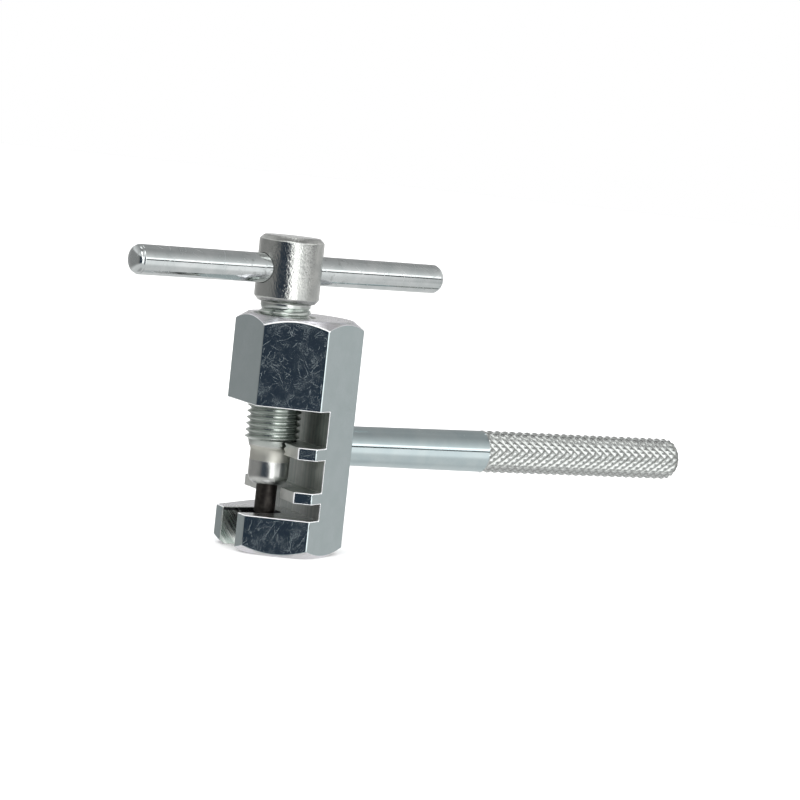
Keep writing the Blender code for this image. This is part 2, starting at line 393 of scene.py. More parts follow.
def fit_range(tree, value, low, high, to_low=0.0, to_high=1.0, kind="SMOOTHSTEP"):
    inputs = {0: value, 1: low, 2: high, 3: to_low, 4: to_high}
    return node(tree, "MapRange", inputs, interpolation_type=kind).outputs[0]


def noise_of(tree, vector, scale, detail=2.0, rough=0.5, offset=(0, 0, 0), turn=0.0, stretch=(1, 1, 1)):
    """Noise over the vector, which is turned about Z by an angle, stretched and moved."""
    if offset != (0, 0, 0) or turn or stretch != (1, 1, 1):
        vector = node(tree, "VectorRotate", {"Vector": vector, "Angle": turn}).outputs[0]
        inputs = {"Vector": vector, "Location": offset, "Scale": stretch}
        vector = node(tree, "Mapping", inputs).outputs[0]
    inputs = {"Vector": vector, "Scale": scale, "Detail": detail, "Roughness": rough}
    return node(tree, "TexNoise", inputs).outputs[0]


def mix(tree, share, a, b):
    """A colour between a and b, which are colours or sockets. 6 and 7 are the node's colour inputs."""
    a, b = ((*c, 1) if isinstance(c, tuple) else c for c in (a, b))
    return node(tree, "Mix", {0: share, 6: a, 7: b}, data_type="RGBA").outputs[2]


def shades(tree, field, a, b, low=0.3, high=0.7):
    """A colour that goes from a to b as the field goes from low to high."""
    return mix(tree, fit_range(tree, field, low, high), a, b)


def scratches(tree, surface, families):
    """Hair scratches: thin straight streaks of stretched noise.

    families lists the angle in degrees, the length and width in millimetres, and the noise level at
    which a streak begins, so a higher level leaves fewer.
    """
    total = None
    for i, (angle, length, width, level) in enumerate(families):
        spot = (11.3 * i + 3.1, 7.7 * i + 1.9, 2.3 * i)
        field = noise_of(tree, surface, 1.0, 0.0, 0.5, spot, radians(angle), (1 / length, 1 / width, 1))
        part = fit_range(tree, field, level, level + 0.05)
        total = part if total is None else calc(tree, "MAXIMUM", total, part)
    return total


def position_in(tree):
    """Object coordinates in millimetres."""
    position = node(tree, "TexCoord").outputs["Object"]
    return node(tree, "VectorMath", {0: position, "Scale": 1000.0}, operation="SCALE").outputs[0]


def surface_in(tree):
    """The coordinate in millimetres that lies in the surface."""
    return node(tree, "Attribute", attribute_name="surface").outputs["Vector"]


def parts_of(tree, vector):
    return node(tree, "SeparateXYZ", {0: vector}).outputs


def metal(name):
    material = bpy.data.materials.new(name)
    material.use_nodes = True
    tree = material.node_tree
    shader = tree.nodes["Principled BSDF"]
    shader.inputs["Metallic"].default_value = 1.0
    return material, tree, shader


def paint(tree, shader, colour, rough):
    tree.links.new(colour, shader.inputs["Base Color"])
    tree.links.new(rough, shader.inputs["Roughness"])


def bump(tree, shader, height, strength, distance, normal=None):
    """Gives the shader a bump, on top of an earlier one if there is one. The distance is in millimetres."""
    inputs = {"Strength": strength, "Distance": distance * MM, "Height": height}
    if normal is not None:
        inputs["Normal"] = normal
    out = node(tree, "Bump", inputs).outputs[0]
    tree.links.new(out, shader.inputs["Normal"])
    return out


# ---------------------------------------------------------------- materials


def zinc_facets():
    """Smooth plated flats of the bar: mirror-like and cloudy, with hair scratches in all directions,
    painted lighter as a highlight.
    """
    material, tree, shader = metal("zinc_facets")
    position, surface = position_in(tree), surface_in(tree)
    clouds = noise_of(tree, position, 0.35, 3.0)
    colour = shades(tree, clouds, (0.57, 0.655, 0.66), (0.60, 0.68, 0.69))
    hair = scratches(tree, surface, [
        (8, 2.2, 0.11, 0.65), (31, 1.8, 0.10, 0.66), (55, 2.6, 0.12, 0.66), (78, 1.9, 0.11, 0.65),
        (103, 2.4, 0.12, 0.66), (127, 1.7, 0.10, 0.65), (150, 2.8, 0.12, 0.66), (171, 2.0, 0.10, 0.66),
    ])
    deep = scratches(tree, surface, [
        (25, 1.8, 0.13, 0.75), (62, 4.5, 0.14, 0.77), (98, 1.5, 0.12, 0.755),
        (118, 6.0, 0.15, 0.78), (140, 2.0, 0.13, 0.75), (165, 4.0, 0.14, 0.77),
    ])
    specks = fit_range(tree, noise_of(tree, surface, 6.0, 2.0, 0.6, (3, 3, 3)), 0.68, 0.78)
    uneven = fit_range(tree, noise_of(tree, surface, 0.45, 3.0, 0.6, (6, 2, 9)), 0.35, 0.7, 0.14, 0.58)
    bold = calc(tree, "MAXIMUM", times(tree, deep, 0.75), times(tree, specks, 0.4))
    marks = calc(tree, "MAXIMUM", times(tree, hair, uneven), bold)
    # Painted highlight: the scratches and specks are painted lighter, standing for the light that they
    # scatter.
    lit = mix(tree, times(tree, marks, 0.12), colour, (0.82, 0.86, 0.90))
    haze = fit_range(tree, noise_of(tree, surface, 0.5, 3.0, 0.6, (9, 2, 1)), 0.35, 0.75, 0.085, 0.102)
    paint(tree, shader, lit, plus(tree, haze, times(tree, marks, 0.22)))
    slow = bump(tree, shader, noise_of(tree, position, 0.22, 1.0), 0.25, 0.04)
    bump(tree, shader, marks, 0.3, 0.01, slow)
    return material


def zinc_turned():
    """Turned ends of the bar: faint rings, brighter than the flats."""
    material, tree, shader = metal("zinc_turned")
    position = position_in(tree)
    offset = node(tree, "VectorMath", {0: position, 1: (-BODY_X, 0, 0)}, operation="ADD").outputs[0]
    x, y, z = parts_of(tree, offset)
    profile = node(tree, "CombineXYZ", {0: length_of(tree, x, y), 1: 0.0, 2: z}).outputs[0]
    rings = noise_of(tree, profile, 5.0, 2.0)
    clouds = noise_of(tree, position, 0.4, 2.0)
    colour = shades(tree, clouds, (0.80, 0.80, 0.80), (0.90, 0.89, 0.94))
    paint(tree, shader, colour, fit_range(tree, rings, 0.3, 0.7, 0.2, 0.32))
    bump(tree, shader, rings, 0.35, 0.03)
    return material


def zinc_milled():
    """Milled faces of the chain gaps: cutter marks and a duller, greener plating."""
    material, tree, shader = metal("zinc_milled")
    position, surface = position_in(tree), surface_in(tree)
    marks = noise_of(tree, surface, 1.0, 3.0, 0.6, (1, 2, 3), radians(32), (0.5, 4.5, 1))
    bands = noise_of(tree, surface, 1.0, 2.0, 0.5, (4, 1, 7), radians(90), (0.05, 1.6, 1))
    clouds = noise_of(tree, position, 0.5, 3.0)
    colour = shades(tree, bands, (0.42, 0.46, 0.44), (0.55, 0.57, 0.54))
    darker = mix(tree, fit_range(tree, clouds, 0.45, 0.8, 0.0, 0.5), colour, (0.38, 0.39, 0.38))
    paint(tree, shader, darker, fit_range(tree, marks, 0.3, 0.7, 0.34, 0.44))
    bump(tree, shader, marks, 0.25, 0.008)
    return material


def zinc_slot():
    """Walls of the anvil's slot: coarse slanting cutter marks, with painted shade further in and along the
    top.
    """
    material, tree, shader = metal("zinc_slot")
    position, surface = position_in(tree), surface_in(tree)
    stripes = noise_of(tree, surface, 1.0, 2.0, 0.5, (1, 2, 3), radians(58), (0.08, 1.0, 1))
    fine = noise_of(tree, surface, 1.0, 2.0, 0.5, (5, 2, 1), radians(58), (0.2, 6.0, 1))
    colour = shades(tree, stripes, (0.50, 0.58, 0.54), (0.90, 0.95, 0.91), 0.4, 0.62)
    x, y, z = parts_of(tree, position)
    # Painted shade: the walls turn almost black further into the slot and near its top.
    painted_shade = calc(tree, "MAXIMUM", fit_range(tree, x, -3.4, -2.6), fit_range(tree, z, -0.75, -0.5))
    shaded = mix(tree, painted_shade, colour, (0.12, 0.12, 0.13))
    paint(tree, shader, shaded, fit_range(tree, fine, 0.3, 0.7, 0.2, 0.36))
    bump(tree, shader, plus(tree, stripes, times(tree, fine, 0.3)), 0.5, 0.05)
    return material


def zinc_ends():
    """Ends of the prongs: pale satin plating."""
    material, tree, shader = metal("zinc_ends")
    clouds = noise_of(tree, position_in(tree), 0.8, 3.0)
    colour = shades(tree, clouds, (0.84, 0.86, 0.82), (0.94, 0.95, 0.91))
    paint(tree, shader, colour, fit_range(tree, clouds, 0.3, 0.7, 0.36, 0.44))
    return material


def zinc_edges():
    """Narrow rounded edges: a painted highlight, bright and only partly metallic."""
    material, tree, shader = metal("zinc_edges")
    shader.inputs["Metallic"].default_value = 0.45
    # Painted highlight: the edges get a near-white colour that stands for the light they catch.
    edge_highlight_noise = noise_of(tree, position_in(tree), 2.5, 2.0)
    colour = shades(tree, edge_highlight_noise, (0.86, 0.88, 0.90), (0.98, 0.98, 0.98))
    paint(tree, shader, colour, fit_range(tree, edge_highlight_noise, 0.3, 0.7, 0.42, 0.55))
    return material


def spindle_steel():
    """Turned spindle: lumpy satin on the head, smoother thread, and a pale satin band on a bright nose."""
    material, tree, shader = metal("spindle_steel")
    position, surface = position_in(tree), surface_in(tree)
    height = parts_of(tree, position)[2]

    def between(low, low_full, high_full, high):
        """1 between two heights, with soft limits."""
        rise = fit_range(tree, height, low, low_full)
        return times(tree, rise, fit_range(tree, height, high_full, high, 1.0, 0.0))

    grain = noise_of(tree, surface, 3.4, 2.5, 0.6, (1, 1, 1), 0.0, (1, 0.6, 1))
    clouds = noise_of(tree, position, 0.5, 3.0)
    base = shades(tree, clouds, (0.56, 0.575, 0.555), (0.65, 0.66, 0.635), 0.35, 0.7)
    band = between(8.5, 8.75, 10.9, 11.3)
    tinted = mix(tree, between(11.0, 11.6, 34.9, 35.4), base, (0.55, 0.59, 0.56))
    colour = mix(tree, band, tinted, (0.66, 0.66, 0.60))
    head = fit_range(tree, height, 35.3, 35.7)
    satin = fit_range(tree, grain, 0.3, 0.75, 0.10, 0.19)
    polish = fit_range(tree, height, 28.0, 33.0, 0.0, 0.08)
    smooth = calc(tree, "SUBTRACT", fit_range(tree, grain, 0.3, 0.7, 0.22, 0.26), polish)
    below = times(tree, smooth, calc(tree, "SUBTRACT", 1.0, head))
    rough = plus(tree, times(tree, satin, head), below)
    paint(tree, shader, colour, plus(tree, rough, times(tree, band, 0.25)))
    lumps = times(tree, grain, fit_range(tree, head, 0.0, 1.0, 0.1, 3.2))
    bump(tree, shader, lumps, 0.7, 0.03)
    return material


def bar_steel():
    """Drawn cross bar: bright, with fine lines along it, small scuffs and dark smudges by the head."""
    material, tree, shader = metal("bar_steel")
    position, surface = position_in(tree), surface_in(tree)
    lines = noise_of(tree, surface, 1.0, 2.0, 0.5, (2, 5, 1), 0.0, (3.0, 0.08, 1))
    clouds = noise_of(tree, position, 0.35, 3.0)
    colour = shades(tree, clouds, (0.60, 0.64, 0.64), (0.70, 0.73, 0.73))
    from_head = calc(tree, "ABSOLUTE", parts_of(tree, position)[0])
    near_head = fit_range(tree, from_head, 5.0, 14.0, 1.0, 0.25)
    smudges = fit_range(tree, noise_of(tree, position, 0.6, 3.0, 0.6, (4, 4, 8)), 0.58, 0.7)
    smudge = times(tree, smudges, near_head)
    dark = mix(tree, times(tree, smudge, 0.6), colour, (0.30, 0.31, 0.30))
    nicks = scratches(tree, surface, [(75, 3.0, 0.2, 0.74), (15, 5.0, 0.2, 0.74), (130, 3.0, 0.2, 0.75)])
    rough = plus(tree, fit_range(tree, lines, 0.3, 0.7, 0.05, 0.09), times(tree, nicks, 0.3))
    paint(tree, shader, dark, plus(tree, rough, times(tree, smudge, 0.15)))
    fine = bump(tree, shader, lines, 0.2, 0.02)
    bump(tree, shader, nicks, -0.4, 0.03, fine)
    return material


def handle_steel():
    """Handle rod: blue-white plating, soft lines along the plain part, fine specks."""
    material, tree, shader = metal("handle_steel")
    position, surface = position_in(tree), surface_in(tree)
    lines = noise_of(tree, surface, 1.0, 2.0, 0.5, (2, 5, 1), 0.0, (2.0, 0.05, 1))
    clouds = noise_of(tree, position, 0.3, 3.0)
    colour = shades(tree, clouds, (0.56, 0.66, 0.68), (0.62, 0.71, 0.72))
    specks = fit_range(tree, noise_of(tree, surface, 3.0, 2.0, 0.6, (3, 9, 3)), 0.68, 0.76)
    marked = mix(tree, times(tree, specks, 0.4), colour, (0.45, 0.48, 0.48))
    rough = plus(tree, fit_range(tree, lines, 0.3, 0.7, 0.07, 0.12), times(tree, specks, 0.2))
    paint(tree, shader, marked, rough)
    bump(tree, shader, plus(tree, lines, times(tree, specks, 0.6)), 0.25, 0.02)
    return material


def knurl_steel():
    """Rolled knurl: bright, with its grooves painted greyer as shade, and a fine torn grain."""
    material, tree, shader = metal("knurl_steel")
    position = position_in(tree)
    x, y, z = parts_of(tree, position)
    radius = length_of(tree, y, calc(tree, "SUBTRACT", z, HANDLE_Z))
    grain = noise_of(tree, position, 3.5, 3.0, 0.6)
    # Painted shade: the colour darkens from the crests down into the grooves.
    groove, crest = KNURL_RADIUS - 0.32, KNURL_RADIUS - 0.05
    colour = shades(tree, radius, (0.34, 0.35, 0.335), (0.61, 0.635, 0.62), groove, crest)
    paint(tree, shader, colour, fit_range(tree, grain, 0.3, 0.7, 0.08, 0.22))
    bump(tree, shader, grain, 0.7, 0.04)
    return material


def black_oxide():
    """Hardened pin: dark brown-black oxide, faintly clouded, with faint turning lines."""
    material, tree, shader = metal("black_oxide")
    position, surface = position_in(tree), surface_in(tree)
    clouds = noise_of(tree, position, 0.9, 3.0)
    rings = noise_of(tree, surface, 1.0, 2.0, 0.5, (2, 5, 1), 0.0, (0.1, 5.0, 1))
    colour = shades(tree, clouds, (0.040, 0.036, 0.033), (0.075, 0.069, 0.062), 0.35, 0.7)
    paint(tree, shader, colour, fit_range(tree, rings, 0.3, 0.7, 0.4, 0.55))
    bump(tree, shader, rings, 0.3, 0.03)
    return material


# ---------------------------------------------------------------- pieces


def along_x(x, z):
    """Lays a piece turned about Z along X, and moves its start to the given place."""
    return Matrix.Translation((x, 0, z)) @ Matrix.Rotation(pi / 2, 4, "Y")


def bar_outline():
    corner = ACROSS_FLATS / sqrt(3)
    angles = [radians(30 + 60 * i) for i in range(6)]
    return [(BODY_X + corner * cos(a), corner * sin(a)) for a in angles]


def end_chamfers():
    reach = ACROSS_FLATS
    rise = (reach - BODY_END_RADIUS) * tan(BODY_CHAMFER_ANGLE)
    profile = [
        (BODY_END_RADIUS, BODY_BOTTOM), (reach, BODY_BOTTOM + rise),
        (reach, BODY_TOP - rise), (BODY_END_RADIUS, BODY_TOP),
    ]
    mesh = turned("end_chamfers", profile, 144)
    mesh.transform(Matrix.Translation((BODY_X, 0, 0)))
    return mesh


def chain_recess():
    outside = OPEN_FACET_X - CUTTER_SPARE
    outline = [(outside, 0.0), (BACK_WALL_X, 0.0)]
    for low, high in (LOWER_PRONG, UPPER_PRONG):
        outline += [(BACK_WALL_X, low), (PRONG_END_X, low), (PRONG_END_X, high), (BACK_WALL_X, high)]
    outline += [(BACK_WALL_X, BLOCK_BOTTOM), (outside, BLOCK_BOTTOM)]
    return extruded("chain_recess", outline, -ACROSS_FLATS, ACROSS_FLATS, "Y")


def anvil_slot():
    radius = SLOT_WIDTH / 2
    outside = OPEN_FACET_X - CUTTER_SPARE
    steps = 32
    arc = [(radius * cos(a), radius * sin(a)) for a in (pi * (i / steps - 0.5) for i in range(steps + 1))]
    outline = [(outside, -radius), *arc, (outside, radius)]
    return extruded("anvil_slot", outline, BODY_BOTTOM - CUTTER_SPARE, SLOT_CUTTER_TOP, "Z")


def roller_pocket():
    return turned("roller_pocket", [(POCKET_RADIUS, POCKET_BOTTOM), (POCKET_RADIUS, POCKET_TOP)], 96)


def tapped_bore():
    """The bore's cutter, whose thread goes three turns below the spindle's and two above it."""
    root = THREAD_ROOT_RADIUS + THREAD_CLEARANCE
    crest = THREAD_RADIUS + THREAD_CLEARANCE
    bottom = THREAD_BOTTOM - 3 * THREAD_PITCH
    turns = THREAD_TURNS + 5
    bm = bmesh.new()
    low = ring(bm, root, bottom - 0.3, BORE_THREAD_STEPS)
    high = ring(bm, root, bottom + (turns + 1.3) * THREAD_PITCH, BORE_THREAD_STEPS)
    sections = [(0.0, root), (0.1, root), (0.44, crest), (0.56, crest), (0.9, root)]
    thread(bm, sections, bottom, turns, lambda z: crest, low, high)
    bm.faces.new(low)
    bm.faces.new(high)
    return finished(bm, "tapped_bore")


def bore_mouth():
    """A 45 degree countersink at the top of the bore, with a soft rim."""
    depths = [(3.9, -1.4), (5.18, -0.12), (5.32, -0.03), (5.6, 0.02), (5.6, 1)]
    return turned("bore_mouth", [(radius, BODY_TOP + depth) for radius, depth in depths], 96)


def handle_hole():
    """The handle's hole in the back facet, with a small chamfer at its mouth."""
    radius = HANDLE_NECK_RADIUS + HANDLE_HOLE_CLEARANCE
    profile = [(radius, -2.0), (radius, -0.12), (radius + 0.14, 0.02), (radius + 0.14, 3.0)]
    mesh = turned("handle_hole", profile, 96)
    mesh.transform(along_x(HANDLE_FACET_X, HANDLE_Z))
    return mesh


def body_surface(face, point):
    """Coordinates in the plane of each face, so that patterns aren't smeared.

    Each of the six directions has its own part of the patterns, and so have the ends.
    """
    n = face.normal
    if abs(n.z) > 0.8:
        return point.x, point.y, 60.0
    turn = round(atan2(n.y, n.x) / radians(60)) * radians(60)
    across = -sin(turn) * (point.x - BODY_X) + cos(turn) * point.y
    return across + 37 * turn, point.z, 13 * turn


def body_material(face):
    """The number of the face's material, from its place, its direction and whether a bevel made it.

    Of the bevels, only those along the outer flats get the bright edge material, a painted highlight:
    above the anvil's sides, and up to the top on the two flats next to the open side.
    """
    n, c = face.normal, face.center
    half = ACROSS_FLATS / 2
    upright = abs(n.z) < 0.3
    away = [(c.x - BODY_X) * cos(i * pi / 3) + c.y * sin(i * pi / 3) for i in range(6)]
    open_side = max(away[2], away[4]) > half - 0.3
    # Bevels that get the painted highlight.
    highlit_edge = max(away) > half - 0.2 and -2 < c.z and (c.z < 25 or open_side)
    if face.material_index == EDGES and highlit_edge:
        return EDGES
    if n.x < -0.9 and abs(c.x - PRONG_END_X) < 0.1:
        return ENDS
    if upright and c.z < 0.1 and abs(c.y) < SLOT_WIDTH / 2 + 0.02 and c.x < SLOT_WIDTH / 2 + 0.15:
        return SLOT
    flat_end = c.z > BODY_TOP - 0.02 or c.z < BODY_BOTTOM + 0.02
    cone = abs(n.z) > 0.5 and hypot(c.x - BODY_X, c.y) > 8.9 and (c.z > 30 or c.z < -3.5)
    anvil_top = n.z > 0.8 and abs(c.z) < 0.1
    if flat_end or cone or anvil_top:
        return TURNED
    if upright and (c - Vector((BODY_X, 0, 0))).dot(n) > half - 0.3:
        return FACETS
    return MILLED


def make_body():
    body = new_object("hex_bar_body", extruded("hex_bar", bar_outline(), BODY_BOTTOM, BODY_TOP, "Z"))
    materials = [zinc_facets(), zinc_turned(), zinc_milled(), zinc_slot(), zinc_ends(), zinc_edges()]
    for _ in materials:
        body.data.materials.append(None)
    bevel(body, "corners", CORNER_BEVEL, 5, 40)
    apply_modifiers(body)
    cut(body, end_chamfers(), "INTERSECT")
    for cutter in (chain_recess(), anvil_slot(), roller_pocket()):
        cut(body, cutter)
    edges = bevel(body, "edges", EDGE_BEVEL, 2, 25)
    # The bevel's faces take the bright edge material, a painted highlight.
    edges.material = EDGES
    edges.use_clamp_overlap = False
    apply_modifiers(body)
    for cutter in (tapped_bore(), bore_mouth(), handle_hole()):
        cut(body, cutter)
    apply_modifiers(body)
    for face in body.data.polygons:
        face.material_index = body_material(face)
    write_surface(body.data, body_surface)
    place_piece(body, "body", "hex_body", materials, 32)
    normals = body.modifiers.new("normals", "WEIGHTED_NORMAL")
    normals.keep_sharp = True
    normals.weight = 100


def thread_limit(z):
    """The largest radius of the spindle's thread, which runs out towards the nose and the neck."""
    start = THREAD_START_RADIUS + (z - THREAD_START_Z) * THREAD_START_SLOPE
    runout = NECK_RADIUS + max(0.0, RUNOUT_TOP - z) * RUNOUT_SLOPE
    return min(start, runout) if z > BODY_TOP else start


def bar_matrix():
    lying = Matrix.Rotation(BAR_TURN, 4, "Z") @ Matrix.Rotation(pi / 2, 4, "Y")
    return Matrix.Translation((0, 0, BAR_Z)) @ lying


def bar_bore():
    radius = BAR_RADIUS + BAR_CLEARANCE
    mesh = turned("bar_bore", [(radius, -9.0), (radius, 9.0)], 96)
    mesh.transform(bar_matrix())
    return mesh


def make_spindle():
    hole = PIN_RADIUS + PIN_CLEARANCE
    band = NOSE_RADIUS - BAND_DEPTH
    nose = [(hole, PIN_HOLE_TOP), (hole, NOSE_BOTTOM + NOSE_LIP), (hole + NOSE_LIP, NOSE_BOTTOM)]
    rounded = rounded_end(NOSE_RADIUS, NOSE_ROUNDING, NOSE_CROWN, 10)
    nose += [(radius, NOSE_BOTTOM + NOSE_ROUNDING - rise) for radius, rise in reversed(rounded)]
    nose += [(NOSE_RADIUS, 8.55), (band, 8.65), (band, 10.4), (3.62, 10.75), (3.75, 10.95)]
    top_in, top_down = HEAD_TOP_CHAMFER
    bottom_in, bottom_up = HEAD_BOTTOM_CHAMFER
    head = [
        (NECK_RADIUS, THREAD_BOTTOM + (THREAD_TURNS + 1.05) * THREAD_PITCH),
        (NECK_RADIUS, HEAD_BOTTOM), (HEAD_RADIUS - bottom_in, HEAD_BOTTOM),
        (HEAD_RADIUS, HEAD_BOTTOM + bottom_up), (HEAD_RADIUS, HEAD_TOP - top_down),
        (HEAD_RADIUS - top_in, HEAD_TOP), (2.0, HEAD_TOP),
    ]
    bm = bmesh.new()
    low = [ring(bm, radius, z, THREAD_STEPS) for radius, z in nose]
    high = [ring(bm, radius, z, THREAD_STEPS) for radius, z in softened(head, 0.2)]
    for rings in (low, high):
        for a, b in zip(rings, rings[1:]):
            join_rings(bm, a, b)
    bm.faces.new(low[0])
    bm.faces.new(high[-1])
    sections = thread_sections(THREAD_RADIUS, THREAD_ROOT_RADIUS)
    thread(bm, sections, THREAD_BOTTOM, THREAD_TURNS, thread_limit, low[-1], high[0])
    spindle = new_object("press_spindle", finished(bm, "press_spindle"))
    cut(spindle, bar_bore())
    apply_modifiers(spindle)
    write_surface(spindle.data, around(HEAD_RADIUS))
    place_piece(spindle, "spindle", "spindle_screw", [spindle_steel()], 35)


def make_bar():
    dome = rounded_end(BAR_RADIUS - BAR_RIM, BAR_DOME, 0.15, 12)
    near = [(radius, BAR_NEAR + BAR_DOME - rise) for radius, rise in reversed(dome)]
    far = [(radius, BAR_FAR - BAR_DOME + rise) for radius, rise in dome]
    shank = [(BAR_RADIUS, BAR_NEAR + BAR_DOME + BAR_RIM), (BAR_RADIUS, BAR_FAR - BAR_DOME - BAR_RIM)]
    bar = new_object("cross_bar", turned("cross_bar", softened([*near, *shank, *far], 0.12), 96))
    write_surface(bar.data, around(BAR_RADIUS))
    place_piece(bar, "spindle", "t_bar", [bar_steel()], 50, bar_matrix())


def make_pin():
    profile = [
        (0.3, PIN_END), (PIN_RADIUS - PIN_RIM, PIN_END),
        (PIN_RADIUS, PIN_END + PIN_RIM), (PIN_RADIUS, PIN_TOP),
    ]
    pin = new_object("press_pin", turned("press_pin", softened(profile, 0.08), 64))
    write_surface(pin.data, around(PIN_RADIUS))
    place_piece(pin, "pin_carrier", "drive_pin", [black_oxide()], 50)


def knurl(u, v):
    """Depth share of two crossing families of grooves, with u round the handle and v along it, in pitches.

    The families take turns to be the deeper, three times round the handle.
    """
    def groove(phase):
        return max(0.0, 1 - abs(phase - round(phase)) / GROOVE_HALF_WIDTH)
    lead = GROOVE_LEAD * max(-1.0, min(1.0, 2 * cos(3 * 2 * pi * u / KNURL_COUNT + radians(36))))
    return max((GROOVE_SHARE - lead) * groove(u + v), (GROOVE_SHARE + lead) * groove(u - v))


def join_knurl(bm, low, high, v_low, v_high):
    """Triangles between two knurled rows, each split along the diagonal that follows the ridges best."""
    steps = len(low)
    for i in range(steps):
        j = (i + 1) % steps
        u, w = i / KNURL_STEPS, (i + 1) / KNURL_STEPS
        middle = knurl((u + w) / 2, (v_low + v_high) / 2)
        rising = abs(middle - (knurl(u, v_low) + knurl(w, v_high)) / 2)
        falling = abs(middle - (knurl(w, v_low) + knurl(u, v_high)) / 2)
        if rising <= falling:
            bm.faces.new((low[i], low[j], high[j]))
            bm.faces.new((low[i], high[j], high[i]))
        else:
            bm.faces.new((low[i], low[j], high[i]))
            bm.faces.new((low[j], high[j], high[i]))


def make_handle():
    """The handle, built along Z from the body's back facet and then laid along X.

    Distance travelled along the knurled rows, dome included, is what the knurl's pitch counts. The
    grooves fade in over the first 0.2 mm, and out towards the middle of the dome. A low burr stands
    where the knurling begins.
    """
    start = KNURL_START_X - HANDLE_FACET_X
    end = HANDLE_END_X - HANDLE_FACET_X
    plain = [(HANDLE_NECK_RADIUS, -1.8), (HANDLE_NECK_RADIUS, HANDLE_PLAIN_START)]
    for share in (0.1, 0.25, 0.5, 0.75, 0.98):
        radius = HANDLE_NECK_RADIUS + (HANDLE_PLAIN_RADIUS - HANDLE_NECK_RADIUS) * share
        plain.append((radius, HANDLE_PLAIN_START + (start - HANDLE_PLAIN_START) * share))
    steps = KNURL_COUNT * KNURL_STEPS
    row_step = KNURL_PITCH / KNURL_STEPS
    base = end - HANDLE_DOME
    rows = [(KNURL_RADIUS, start + row_step * i) for i in range(ceil((base - start) / row_step))]
    rows += [(radius, base + rise) for radius, rise in rounded_end(KNURL_RADIUS, HANDLE_DOME, 0.2, 30)]
    bm = bmesh.new()
    rings = [ring(bm, radius, z, steps) for radius, z in plain]
    for a, b in zip(rings, rings[1:]):
        join_rings(bm, a, b)
    travelled = 0.0
    before = 0.0
    for index, (radius, z) in enumerate(rows):
        if index:
            travelled += hypot(radius - rows[index - 1][0], z - rows[index - 1][1])
        fade = min(1.0, travelled / 0.2) * min(1.0, max(0.0, (radius - 0.7) / 1.4))
        v = travelled / KNURL_PITCH
        verts = []
        for i in range(steps):
            angle = 2 * pi * i / steps
            u = i / KNURL_STEPS
            ragged = 1 + noise.noise((3 * u, 1.0, 2.0))
            burr = BURR_HEIGHT * max(0.0, 1 - abs(travelled - BURR_PLACE) / BURR_REACH) * ragged
            rub = RUB_DEPTH * noise.noise((2.3 * u, 2.3 * v, 5.0))
            r = radius - KNURL_DEPTH * knurl(u, v) * fade + burr - rub * fade
            if index == 0:
                r = HANDLE_PLAIN_RADIUS + 0.02
            verts.append(bm.verts.new((r * cos(angle), r * sin(angle), z)))
        join_knurl(bm, rings[-1], verts, before / KNURL_PITCH, travelled / KNURL_PITCH)
        rings.append(verts)
        before = travelled
    bm.faces.new(rings[0])
    bm.faces.new(rings[-1])
    handle = new_object("knurled_handle", finished(bm, "knurled_handle"))
    for face in handle.data.polygons:
        face.material_index = 1 if face.center.z > start else 0
    write_surface(handle.data, around(KNURL_RADIUS))
    materials = [handle_steel(), knurl_steel()]
    matrix = along_x(HANDLE_FACET_X, HANDLE_Z)
    place_piece(handle, "body", "handle", materials, 24, matrix)


# ---------------------------------------------------------------- studio


def ramp(tree, value, stops):
    """A colour ramp. The stops list (place, colour or grey level)."""
    made = node(tree, "ValToRGB", {0: value})
    elements = made.color_ramp.elements
    while len(elements) > 1:
        elements.remove(elements[-1])
    for i, (place, colour) in enumerate(stops):
        element = elements[0] if i == 0 else elements.new(place)
        element.position = place
        element.color = (*colour, 1) if isinstance(colour, tuple) else (colour, colour, colour, 1)
    return made.outputs[0]


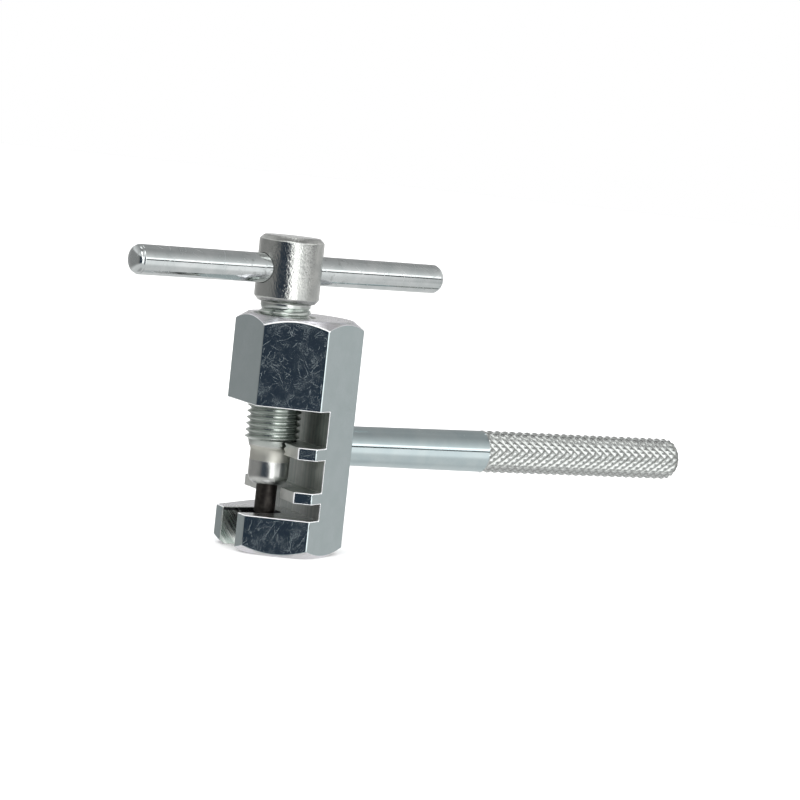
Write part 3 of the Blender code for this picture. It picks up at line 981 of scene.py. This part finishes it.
def studio_world():
    """Soft surroundings: one ramp by compass direction near the horizon, one by height, and some lamps."""
    world = bpy.data.worlds.new("studio")
    bpy.context.scene.world = world
    world.use_nodes = True
    tree = world.node_tree
    direction = node(tree, "TexCoord").outputs["Generated"]
    x, y, z = parts_of(tree, direction)

    def at(degrees):
        return ((degrees + 180) % 360) / 360

    compass = [
        (at(180), 0.15),
        (at(196), 0.10),
        (at(208), (0.018, 0.026, 0.037)),
        (at(240), (0.014, 0.020, 0.030)),
        (at(248), (0.06, 0.065, 0.07)),
        (at(255), 1.15),
        (at(267), 1.15),
        (at(286), 0.54),
        (at(312), 0.53),
        (at(322), 0.30),
        (at(335), 0.26),
        (at(350), 0.30),
        (at(10), 0.28),
        (at(40), 0.37),
        (at(75), 0.38),
        (at(100), 0.20),
        (at(125), 0.15),
        (at(150), 0.155),
        (0.999, 0.15),
    ]
    by_height = [
        (0.0, 0.20),
        (0.08, 0.35),
        (0.2, 0.36),
        (0.4, 0.48),
        (0.5, 0.40),
        (0.68, 0.46),
        (0.78, 0.34),
        (0.88, 0.25),
        (0.96, 0.17),
        (1.0, 0.14),
    ]
    azimuth = fit_range(tree, calc(tree, "ARCTAN2", y, x), -pi, pi, kind="LINEAR")
    band = ramp(tree, azimuth, compass)
    dome = ramp(tree, fit_range(tree, z, -1.0, 1.0, kind="LINEAR"), by_height)

    def between(low, low_full, high_full, high):
        """1 between two heights, with soft limits."""
        return times(tree, fit_range(tree, z, low, low_full), fit_range(tree, z, high_full, high, 1.0, 0.0))

    def toward(middle, outer, inner):
        """1 within the inner angle of a direction, and 0 outside the outer one, both in degrees."""
        made = node(tree, "VectorMath", {0: direction, 1: middle}, operation="DOT_PRODUCT")
        return fit_range(tree, made.outputs["Value"], cos(radians(outer)), cos(radians(inner)))

    side = toward(WINDOW_DIRECTION, 38, 24)
    patches = [
        (times(tree, side, between(0.14, 0.18, 0.30, 0.36)), (0.9, 0.9, 0.9)),
        (times(tree, side, between(0.03, 0.05, 0.135, 0.155)), (0.02, 0.022, 0.025)),
        (toward(SHADE_DIRECTION, 38, 20), (0.19, 0.19, 0.19)),
        (toward(RIM_DIRECTION, 20, 10), (1.1, 1.1, 1.1)),
        (toward(LAMP_DIRECTION, 16, 8), (1.1, 1.1, 1.1)),
        (toward(SOFTBOX_DIRECTION, 18, 8), (0.7, 0.7, 0.7)),
    ]
    colour = mix(tree, between(-0.55, -0.3, 0.26, 0.42), dome, band)
    for share, patch in patches:
        colour = mix(tree, share, colour, patch)
    background = tree.nodes["Background"]
    tree.links.new(colour, background.inputs["Color"])
    background.inputs["Strength"].default_value = SURROUND_STRENGTH


def studio_floor():
    """A pale matt floor, which the steel doesn't mirror."""
    bm = bmesh.new()
    bm.faces.new(ring(bm, FLOOR_RADIUS, 0, 72))
    floor = new_object("floor", finished(bm, "floor"))
    floor.location = (0, 0, BODY_BOTTOM * MM)
    floor.visible_glossy = False
    material = bpy.data.materials.new("pale_floor")
    material.use_nodes = True
    shader = material.node_tree.nodes["Principled BSDF"]
    shader.inputs["Base Color"].default_value = (0.9, 0.9, 0.9, 1)
    shader.inputs["Roughness"].default_value = 0.9
    shader.inputs["Specular IOR Level"].default_value = 0.0
    floor.data.materials.append(material)


def studio_backdrop():
    """A white globe round the scene that only the camera sees."""
    bm = bmesh.new()
    bmesh.ops.create_icosphere(bm, subdivisions=3, radius=BACKDROP_RADIUS)
    backdrop = new_object("backdrop", finished(bm, "backdrop"))
    material = bpy.data.materials.new("backdrop_white")
    material.use_nodes = True
    tree = material.node_tree
    tree.nodes.remove(tree.nodes["Principled BSDF"])
    glow = node(tree, "Emission", {"Color": (1, 1, 1, 1), "Strength": 1.0}).outputs[0]
    tree.links.new(glow, tree.nodes["Material Output"].inputs["Surface"])
    backdrop.data.materials.append(material)
    for flag in ("visible_diffuse", "visible_glossy", "visible_transmission", "visible_shadow"):
        setattr(backdrop, flag, False)


def overhead_light():
    """A very wide overhead light that brightens the floor evenly. The steel doesn't mirror it."""
    light = bpy.data.lights.new("overhead", "SUN")
    light.angle = OVERHEAD_ANGLE
    light.energy = OVERHEAD_ENERGY
    obj = new_object("overhead", light)
    obj.location = (0.0, 0.0, 1.0)
    obj.visible_glossy = False


def make_camera():
    camera = bpy.data.cameras.new("camera")
    camera.sensor_width = SENSOR
    camera.lens = LENS
    camera.clip_start = 0.01
    camera.clip_end = 20.0
    obj = new_object("camera", camera)
    axes = Matrix((CAMERA_RIGHT, CAMERA_UP, CAMERA_BACK)).transposed()
    rotation = axes.to_quaternion().to_matrix().to_4x4()
    obj.matrix_world = Matrix.Translation(CAMERA_PLACE) @ rotation
    bpy.context.scene.camera = obj


make_camera()
make_body()
make_spindle()
make_bar()
make_pin()
make_handle()
studio_world()
studio_floor()
studio_backdrop()
overhead_light()
bpy.context.scene.view_settings.view_transform = "Standard"
bpy.context.scene.cycles.use_denoising = True

bpy.context.view_layer.update()
